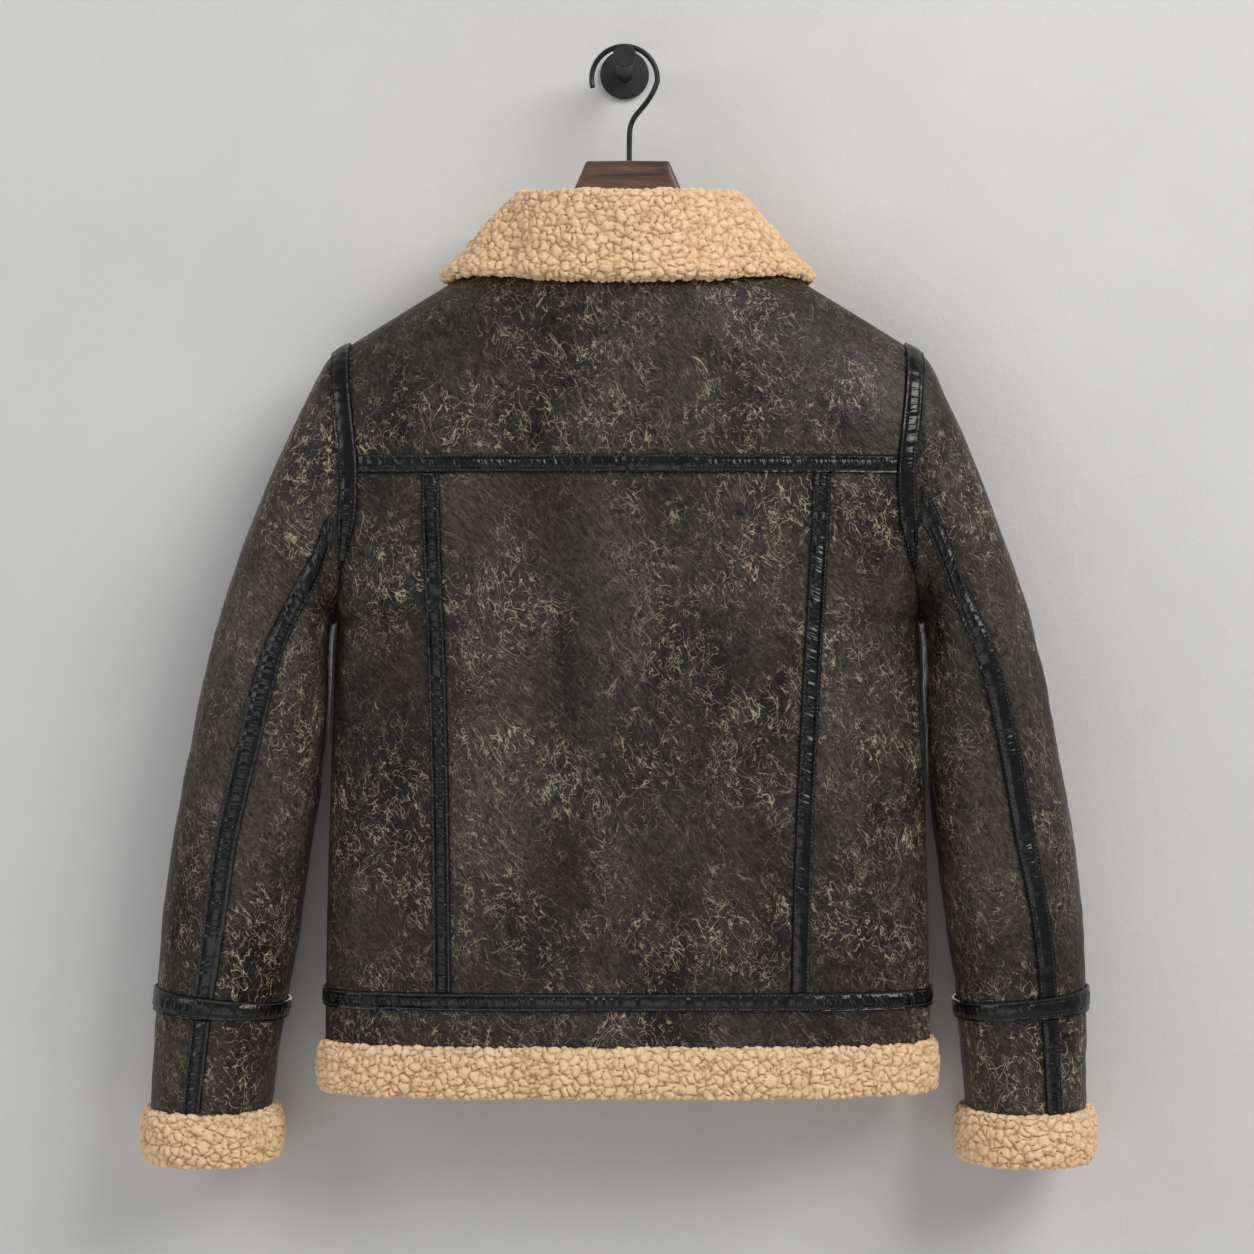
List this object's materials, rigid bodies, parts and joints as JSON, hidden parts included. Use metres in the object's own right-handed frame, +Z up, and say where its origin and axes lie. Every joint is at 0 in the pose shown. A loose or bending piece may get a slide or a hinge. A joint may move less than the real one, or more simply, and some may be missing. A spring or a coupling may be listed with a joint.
{
  "type": "shearling jacket on a hanger and wall peg",
  "caption": "Leather shearling jacket with fleece collar, hem and cuffs and glossy seam strips, hung on a wooden hanger whose wire hook rests on a round wall peg.",
  "frame": {"origin": "centre of the wall peg's flat back face, on the wall", "axes": "+X to the right as seen from behind the jacket, which is the side that shows; +Y into the wall, out of the peg's back face; +Z up. The jacket's back faces -Y."},
  "size_m": [0.7666, 0.1473, 0.902],
  "materials": {
    "worn_leather": "dark brown-black, scratched and mottled, soft gloss",
    "glossy_trim": "glossy black leather, puckered, with two rows of stitching",
    "fleece": "cream-tan curly fleece, matt",
    "walnut": "dark walnut, satin",
    "black_wire": "black satin wire",
    "matt_black_metal": "matt black"
  },
  "bodies": {
    "root": {"back_centre": "worn_leather", "back_side_left": "worn_leather", "back_side_right": "worn_leather", "back_yoke": "worn_leather", "collar": "fleece", "cuff_fur_left": "fleece", "cuff_fur_right": "fleece", "cuff_panel_left": "worn_leather", "cuff_panel_right": "worn_leather", "front_left": "worn_leather", "front_right": "worn_leather", "hanger_hook": "black_wire", "hanger_wood": "walnut", "hem_fur_back": "fleece", "hem_fur_front_left": "fleece", "hem_fur_front_right": "fleece", "strip_armhole_left": "glossy_trim", "strip_armhole_right": "glossy_trim", "strip_back_left": "glossy_trim", "strip_back_right": "glossy_trim", "strip_cuff_left": "glossy_trim", "strip_cuff_right": "glossy_trim", "strip_hem_back": "glossy_trim", "strip_hem_front_left": "glossy_trim", "strip_hem_front_right": "glossy_trim", "strip_sleeve_left": "glossy_trim", "strip_sleeve_right": "glossy_trim", "strip_wrist_left": "glossy_trim", "strip_wrist_right": "glossy_trim", "strip_yoke": "glossy_trim", "top_sleeve_left": "worn_leather", "top_sleeve_right": "worn_leather", "under_sleeve_left": "worn_leather", "under_sleeve_right": "worn_leather", "waistband_back": "worn_leather", "waistband_front_left": "worn_leather", "waistband_front_right": "worn_leather", "wall_peg": "matt_black_metal"}
  },
  "joints": []
}
